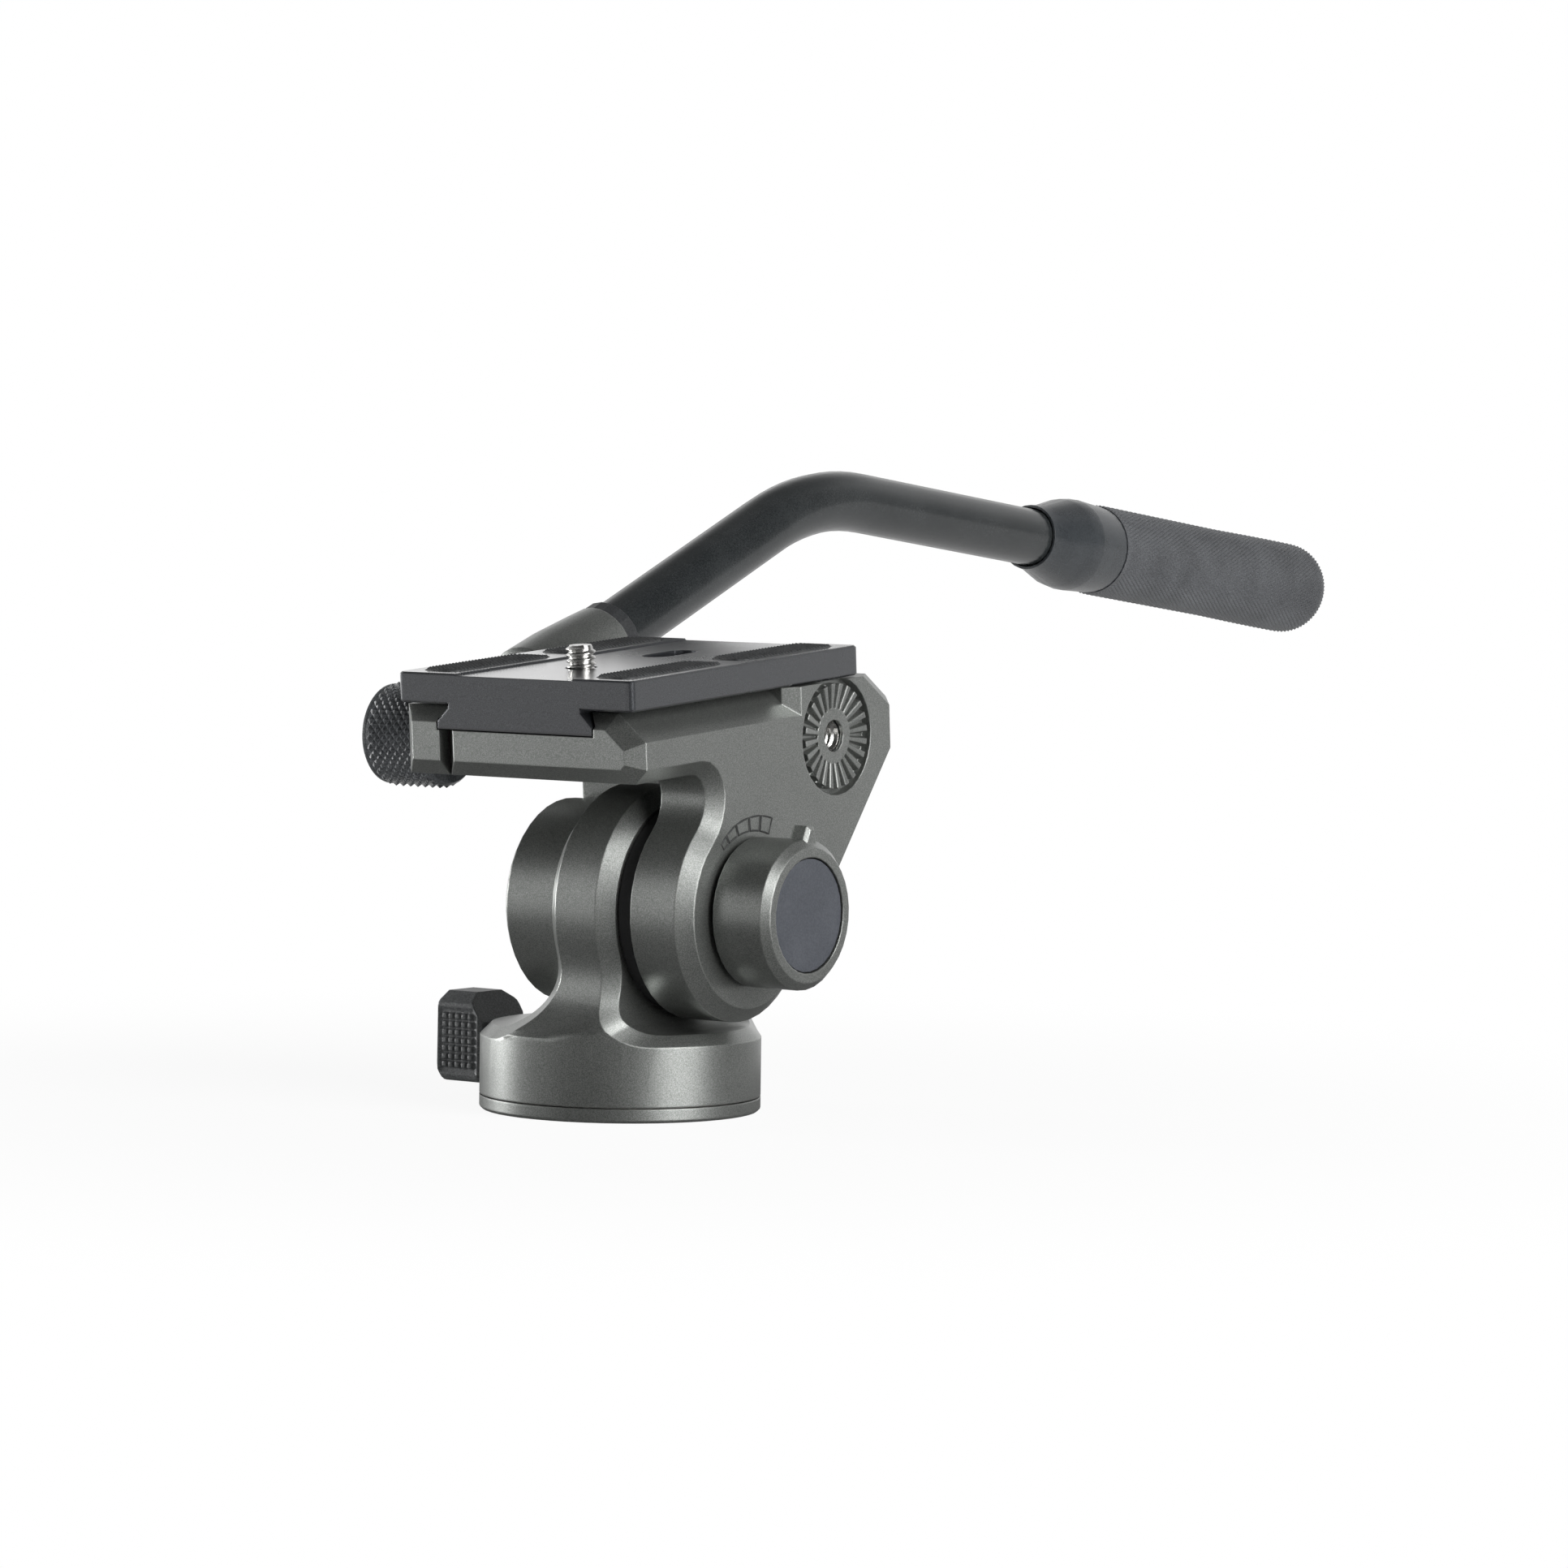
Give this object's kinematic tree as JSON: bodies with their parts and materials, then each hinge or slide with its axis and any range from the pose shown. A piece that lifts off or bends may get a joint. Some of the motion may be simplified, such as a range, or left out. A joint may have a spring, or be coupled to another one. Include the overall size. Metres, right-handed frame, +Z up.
{
  "type": "fluid video head",
  "caption": "Tripod fluid video head: round pan base, tilting platform with dovetail camera plate, tilt lock knob, and a cranked pan handle with a rubber grip.",
  "frame": {"origin": "centre of the underside of the foot disc, on the pan axis, where the tripod screw enters", "axes": "+Z up along the pan axis; +X toward the tilt lock knob, along the tilt axis; -Y toward the lens side, +Y back toward the operator, where the pan handle runs. At rest the platform is nose-down by 4.17 degrees, as pictured; tilt at -4.17 degrees is level"},
  "size_m": [0.1096, 0.3872, 0.1356],
  "materials": {
    "cast_paint": "die-cast aluminium under gunmetal paint with a fine speckle, satin",
    "plate_anodised": "black anodised, satin, with bright machined edges",
    "bright_steel": "bright plated steel",
    "dark_steel": "blackened steel",
    "brass_parts": "turned brass",
    "nylon_parts": "natural nylon",
    "pad_rubber": "black ribbed rubber",
    "grip_rubber": "dark grey rubber with a fine twisted rib",
    "black_plastic": "black moulded plastic",
    "collar_plastic": "dark moulded plastic, semi-gloss",
    "tube_black": "satin black anodised tube",
    "inset_disc": "blue-grey satin disc"
  },
  "bodies": {
    "base": {"foot_disc": "cast_paint", "pan_spindle": "dark_steel", "tripod_thread_bush": "bright_steel", "pan_glide_ring": "nylon_parts"},
    "pan": {"pan_housing": "cast_paint", "pan_retaining_ring": "brass_parts", "pan_brake_shoe": "brass_parts", "tilt_axle": "dark_steel", "tilt_axle_nut": "dark_steel", "drag_rotor": "brass_parts", "tilt_friction_disc": "black_plastic"},
    "pan_lock": {"pan_lock_lever": "black_plastic", "pan_lock_screw": "bright_steel"},
    "tilt": {"tilt_body": "cast_paint", "damper_end_cap": "black_plastic", "drag_cartridge": "nylon_parts", "tilt_bush": "brass_parts", "rosette_insert_right": "bright_steel", "rosette_insert_left": "bright_steel"},
    "tilt_lock": {"tilt_lock_knob": "cast_paint", "tilt_lock_stud": "bright_steel", "tilt_knob_inset_disc": "inset_disc"},
    "jaw": {"clamp_jaw": "cast_paint", "jaw_guide_pin_front": "bright_steel", "jaw_guide_pin_rear": "bright_steel"},
    "clamp": {"clamp_knob": "black_plastic", "clamp_screw": "bright_steel"},
    "plate": {"camera_plate": "plate_anodised", "plate_pad_front_left": "pad_rubber", "plate_pad_front_right": "pad_rubber", "plate_pad_rear_left": "pad_rubber", "plate_pad_rear_right": "pad_rubber", "plate_stop_screw_front": "bright_steel", "plate_stop_screw_rear": "bright_steel"},
    "camera_screw": {"camera_screw": "bright_steel"},
    "handle": {"handle_socket": "cast_paint", "handle_ring": "black_plastic", "handle_tube": "tube_black", "handle_collar": "collar_plastic", "handle_grip": "grip_rubber"},
    "handle_clamp": {"handle_clamp_knob": "black_plastic", "handle_clamp_bolt": "bright_steel"}
  },
  "joints": [
    {"name": "pan_turn", "type": "hinge", "parent": "base", "child": "pan", "pos_m": [0, 0, 0], "axis": [0, 0, 1], "continuous": true},
    {"name": "pan_lock_turn", "type": "hinge", "parent": "pan", "child": "pan_lock", "pos_m": [-0.03, 0, 0.0115], "axis": [-1, 0, 0], "range_deg": [-60, 60]},
    {"name": "tilt_turn", "type": "hinge", "parent": "pan", "child": "tilt", "pos_m": [0, 0, 0.044], "axis": [1, 0, 0], "range_deg": [-54.17, 75.83]},
    {"name": "tilt_lock_turn", "type": "hinge", "parent": "tilt", "child": "tilt_lock", "pos_m": [0.04, 0, 0.044], "axis": [1, 0, 0], "range_deg": [0, 60]},
    {"name": "jaw_slide", "type": "slide", "parent": "tilt", "child": "jaw", "axis": [-1, 0, 0], "range_m": [0, 0.003]},
    {"name": "clamp_turn", "type": "hinge", "parent": "jaw", "child": "clamp", "pos_m": [0, -0.0216, 0.07892], "axis": [-1, 0, 0], "range_deg": [0, 720]},
    {"name": "plate_slide", "type": "slide", "parent": "tilt", "child": "plate", "axis": [0, 0.9974, 0.0727], "range_m": [-0.02, 0.02]},
    {"name": "camera_screw_turn", "type": "hinge", "parent": "plate", "child": "camera_screw", "pos_m": [0.00235, -0.01854, 0.09479], "axis": [0, -0.0727, 0.9974], "continuous": true},
    {"name": "handle_angle", "type": "hinge", "parent": "tilt", "child": "handle", "pos_m": [-0.0296, 0.03007, 0.07988], "axis": [1, 0, 0], "range_deg": [-60, 90]},
    {"name": "handle_clamp_turn", "type": "hinge", "parent": "handle", "child": "handle_clamp", "pos_m": [-0.055, 0.03007, 0.07988], "axis": [-1, 0, 0], "range_deg": [0, 720]}
  ],
  "couplings": [
    {"joint": "clamp_turn", "follows": "jaw_slide", "rad_per_m": 4188.8}
  ]
}
